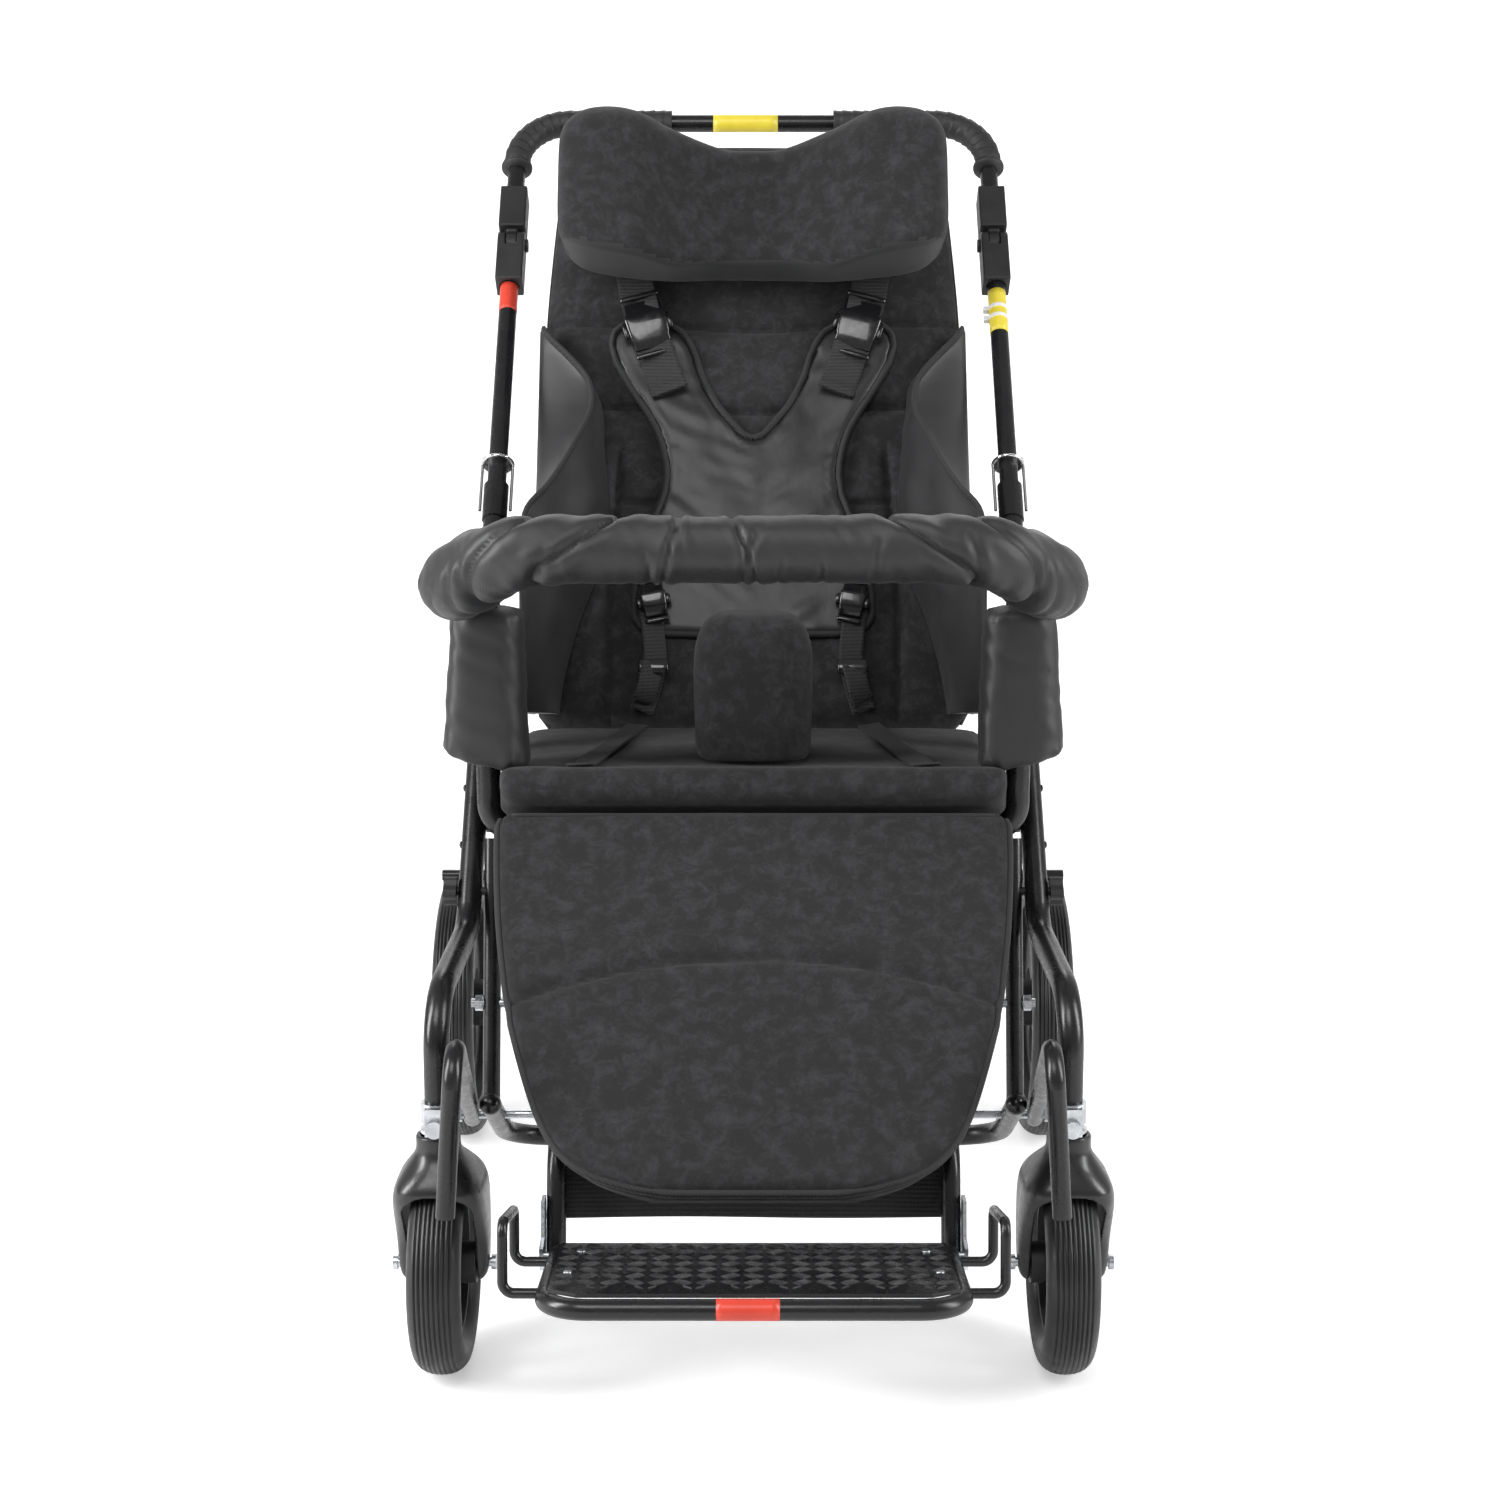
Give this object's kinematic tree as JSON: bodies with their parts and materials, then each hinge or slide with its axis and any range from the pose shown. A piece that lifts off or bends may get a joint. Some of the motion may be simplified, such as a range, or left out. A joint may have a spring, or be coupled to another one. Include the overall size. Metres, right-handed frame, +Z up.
{
  "type": "special needs stroller",
  "caption": "Adaptive push stroller with reclining padded seat, winged headrest, harness vest, padded bumper, pommel, calf pad, footplate, swivel casters and large rear wheels.",
  "frame": {"origin": "on the floor, under the middle of the whole stroller", "axes": "+X to the right as seen from the front, +Y to the rear, +Z up"},
  "size_m": [0.706, 1.1122, 1.134],
  "materials": {
    "black_plastic": "matte moulded",
    "black_steel": "satin black powder coat",
    "board": "flat panel",
    "buckle_plastic": "glossy moulded",
    "chrome_wire": "bright wire",
    "grip_rubber": "spiral-ribbed soft black",
    "suede_fabric": "mottled charcoal suede",
    "tread_plate": "satin black, raised bars",
    "twill_fabric": "dark grey twill nylon",
    "tyre_rubber": "ribbed tread",
    "webbing": "woven strap",
    "zinc": "zinc plated"
  },
  "bodies": {
    "frame": {"side_tube_left": "black_steel", "side_tube_right": "black_steel", "seat_frame": "black_steel", "seat_board": "board", "seat_cushion": "suede_fabric", "rear_legs": "black_steel", "lower_frame": "black_steel", "front_guards": "black_steel", "arm_posts": "black_steel", "post_pads": "twill_fabric", "stem_housings": "zinc", "rear_axle": "zinc", "cross_rods": "zinc", "frame_bolts": "zinc"},
    "handle": {"handle_leg_left": "black_steel", "handle_leg_right": "black_steel", "adjuster_left": "black_plastic", "adjuster_right": "black_plastic"},
    "handlebar": {"handlebar": "black_steel", "grip_left": "grip_rubber", "grip_right": "grip_rubber", "adjuster_hubs": "black_plastic"},
    "backrest": {"backrest_frame": "black_steel", "backrest_cushion": "suede_fabric", "side_wings": "twill_fabric", "harness_vest": "twill_fabric", "harness_straps": "webbing", "harness_buckles": "buckle_plastic"},
    "headrest": {"headrest_pad": "suede_fabric", "headrest_bracket": "board"},
    "bumper": {"bumper_tube": "black_steel", "bumper_sleeve": "twill_fabric"},
    "pommel": {"pommel_pad": "suede_fabric", "pommel_stem": "black_steel"},
    "legrest": {"legrest_frame": "black_steel", "calf_pad": "suede_fabric", "heel_strap": "webbing", "foot_brackets": "zinc"},
    "footplate": {"footplate_frame": "black_steel", "footplate_tread": "tread_plate"},
    "side_knob_left": {"side_knob_left": "black_plastic"},
    "snap_ring_left": {"snap_ring_left": "chrome_wire"},
    "adjuster_button_left": {"adjuster_button_left": "black_plastic"},
    "caster_left": {"fork_left": "black_plastic", "caster_bolts_left": "zinc"},
    "front_wheel_left": {"front_rim_left": "black_plastic", "front_tyre_left": "tyre_rubber"},
    "rear_wheel_left": {"rear_rim_left": "black_plastic", "rear_tyre_left": "tyre_rubber"},
    "brake_left": {"brake_left": "black_steel"},
    "side_knob_right": {"side_knob_right": "black_plastic"},
    "snap_ring_right": {"snap_ring_right": "chrome_wire"},
    "adjuster_button_right": {"adjuster_button_right": "black_plastic"},
    "caster_right": {"fork_right": "black_plastic", "caster_bolts_right": "zinc"},
    "front_wheel_right": {"front_rim_right": "black_plastic", "front_tyre_right": "tyre_rubber"},
    "rear_wheel_right": {"rear_rim_right": "black_plastic", "rear_tyre_right": "tyre_rubber"},
    "brake_right": {"brake_right": "black_steel"}
  },
  "joints": [
    {"name": "handle_fold", "type": "hinge", "parent": "frame", "child": "handle", "pos_m": [0, 0.23848, 0.72425], "axis": [-1, 0, 0], "range_deg": [0, 100]},
    {"name": "handlebar_angle", "type": "hinge", "parent": "handle", "child": "handlebar", "pos_m": [0, 0.42763, 0.98183], "axis": [1, 0, 0], "range_deg": [-60, 30]},
    {"name": "backrest_recline", "type": "hinge", "parent": "frame", "child": "backrest", "pos_m": [0, 0.207, 0.457], "axis": [-1, 0, 0], "range_deg": [-10, 25]},
    {"name": "headrest_slide", "type": "slide", "parent": "backrest", "child": "headrest", "axis": [0, 0.4226, 0.9063], "range_m": [0, 0.02]},
    {"name": "bumper_slide", "type": "slide", "parent": "frame", "child": "bumper", "axis": [0, -1, 0], "range_m": [0, 0.06]},
    {"name": "pommel_lift", "type": "slide", "parent": "frame", "child": "pommel", "axis": [0, 0, 1], "range_m": [0, 0.055]},
    {"name": "legrest_lift", "type": "hinge", "parent": "frame", "child": "legrest", "pos_m": [0, -0.116, 0.446], "axis": [-1, 0, 0], "range_deg": [0, 45]},
    {"name": "footplate_flip", "type": "hinge", "parent": "legrest", "child": "footplate", "pos_m": [0, -0.392, 0.162], "axis": [-1, 0, 0], "range_deg": [0, 40]},
    {"name": "side_knob_left_turn", "type": "hinge", "parent": "frame", "child": "side_knob_left", "pos_m": [-0.278, -0.06806, 0.38477], "axis": [1, 0, 0], "continuous": true},
    {"name": "snap_ring_left_slide", "type": "slide", "parent": "handle", "child": "snap_ring_left", "axis": [0, 0.6388, 0.7694], "range_m": [0, 0.018]},
    {"name": "adjuster_button_left_press", "type": "slide", "parent": "handle", "child": "adjuster_button_left", "axis": [-1, 0, 0], "range_m": [0, 0.003], "stiffness_N_per_m": 600},
    {"name": "caster_left_swivel", "type": "hinge", "parent": "frame", "child": "caster_left", "pos_m": [-0.268, -0.265, 0.221], "axis": [0, 0, 1], "continuous": true},
    {"name": "front_wheel_left_spin", "type": "hinge", "parent": "caster_left", "child": "front_wheel_left", "pos_m": [-0.268, -0.24, 0.095], "axis": [1, 0, 0], "continuous": true},
    {"name": "rear_wheel_left_spin", "type": "hinge", "parent": "frame", "child": "rear_wheel_left", "pos_m": [-0.322, 0.39, 0.1475], "axis": [1, 0, 0], "continuous": true},
    {"name": "brake_left_press", "type": "hinge", "parent": "frame", "child": "brake_left", "pos_m": [-0.223, 0.3, 0.25362], "axis": [-1, 0, 0], "range_deg": [0, 28.3]},
    {"name": "side_knob_right_turn", "type": "hinge", "parent": "frame", "child": "side_knob_right", "pos_m": [0.278, -0.06806, 0.38477], "axis": [1, 0, 0], "continuous": true},
    {"name": "snap_ring_right_slide", "type": "slide", "parent": "handle", "child": "snap_ring_right", "axis": [0, 0.6388, 0.7694], "range_m": [0, 0.018]},
    {"name": "adjuster_button_right_press", "type": "slide", "parent": "handle", "child": "adjuster_button_right", "axis": [1, 0, 0], "range_m": [0, 0.003], "stiffness_N_per_m": 600},
    {"name": "caster_right_swivel", "type": "hinge", "parent": "frame", "child": "caster_right", "pos_m": [0.268, -0.265, 0.221], "axis": [0, 0, 1], "continuous": true},
    {"name": "front_wheel_right_spin", "type": "hinge", "parent": "caster_right", "child": "front_wheel_right", "pos_m": [0.268, -0.24, 0.095], "axis": [1, 0, 0], "continuous": true},
    {"name": "rear_wheel_right_spin", "type": "hinge", "parent": "frame", "child": "rear_wheel_right", "pos_m": [0.322, 0.39, 0.1475], "axis": [1, 0, 0], "continuous": true},
    {"name": "brake_right_press", "type": "hinge", "parent": "frame", "child": "brake_right", "pos_m": [0.223, 0.3, 0.25362], "axis": [-1, 0, 0], "range_deg": [0, 28.3]}
  ]
}
